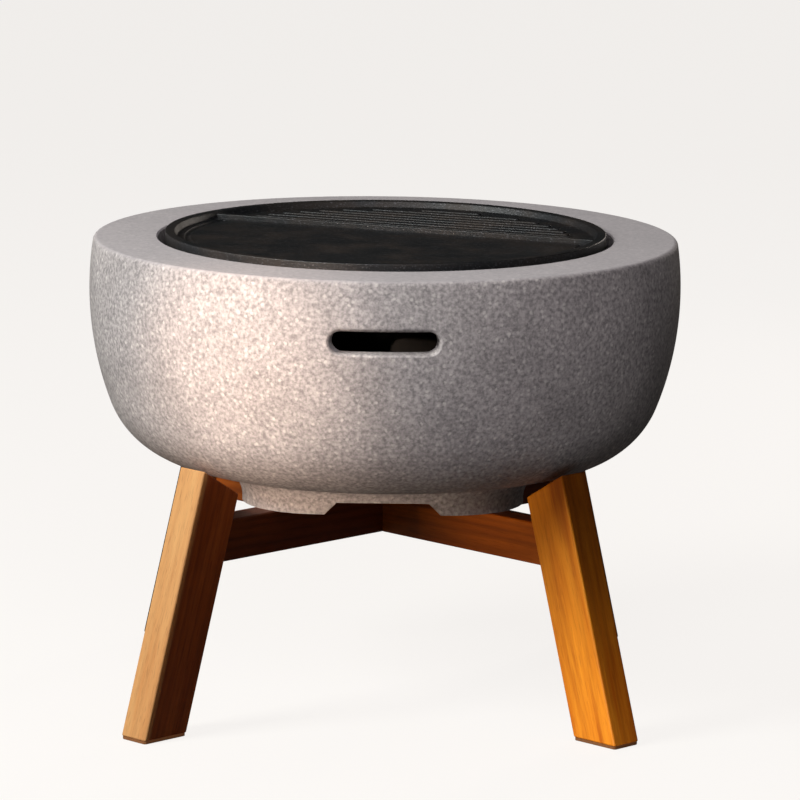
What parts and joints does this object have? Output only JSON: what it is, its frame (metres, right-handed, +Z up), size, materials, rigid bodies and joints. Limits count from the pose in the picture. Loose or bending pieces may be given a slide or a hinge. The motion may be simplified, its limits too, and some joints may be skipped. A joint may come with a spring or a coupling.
{
  "type": "charcoal brazier",
  "caption": "Round cast bowl brazier on a crossed timber stand, with a fire pan, a charcoal grate and a half-barred grill plate.",
  "frame": {"origin": "on the floor, under the middle of the bowl", "axes": "+Z up; -Y towards the front, where one hand slot is; +X to the right as seen from the front"},
  "size_m": [0.5999, 0.6, 0.4755],
  "materials": {
    "bowl_cement": "matt cast magnesia cement with light flecks",
    "pan_steel": "heat-proof matt black",
    "grate_steel": "mill finish, heat-darkened",
    "plate_iron": "seasoned, fine sand-cast grain",
    "stand_wood": "oiled, honey brown",
    "dowel_wood": "bare beech",
    "pad_rubber": "matt"
  },
  "bodies": {
    "stand_base": {"base_rail": "stand_wood", "front_left_leg": "stand_wood", "back_right_leg": "stand_wood", "front_left_dowels": "dowel_wood", "back_right_dowels": "dowel_wood", "front_left_pad": "pad_rubber", "back_right_pad": "pad_rubber"},
    "stand_cross": {"cross_rail": "stand_wood", "front_right_leg": "stand_wood", "back_left_leg": "stand_wood", "front_right_dowels": "dowel_wood", "back_left_dowels": "dowel_wood", "front_right_pad": "pad_rubber", "back_left_pad": "pad_rubber"},
    "bowl": {"bowl": "bowl_cement"},
    "fire_pan": {"fire_pan": "pan_steel"},
    "charcoal_grate": {"grate_ring": "grate_steel", "grate_rods": "grate_steel", "grate_legs": "grate_steel"},
    "grill_plate": {"grill_plate": "plate_iron"}
  },
  "joints": [
    {"name": "cross_lift", "type": "slide", "parent": "stand_base", "child": "stand_cross", "axis": [0, 0, 1], "range_m": [0, 0.3]},
    {"name": "bowl_lift", "type": "slide", "parent": "stand_cross", "child": "bowl", "axis": [0, 0, 1], "range_m": [0, 0.1]},
    {"name": "pan_lift", "type": "slide", "parent": "bowl", "child": "fire_pan", "axis": [0, 0, 1], "range_m": [0, 0.16]},
    {"name": "grate_lift", "type": "slide", "parent": "fire_pan", "child": "charcoal_grate", "axis": [0, 0, 1], "range_m": [0, 0.16]},
    {"name": "plate_lift", "type": "slide", "parent": "charcoal_grate", "child": "grill_plate", "axis": [0, 0, 1], "range_m": [0, 0.06]}
  ]
}
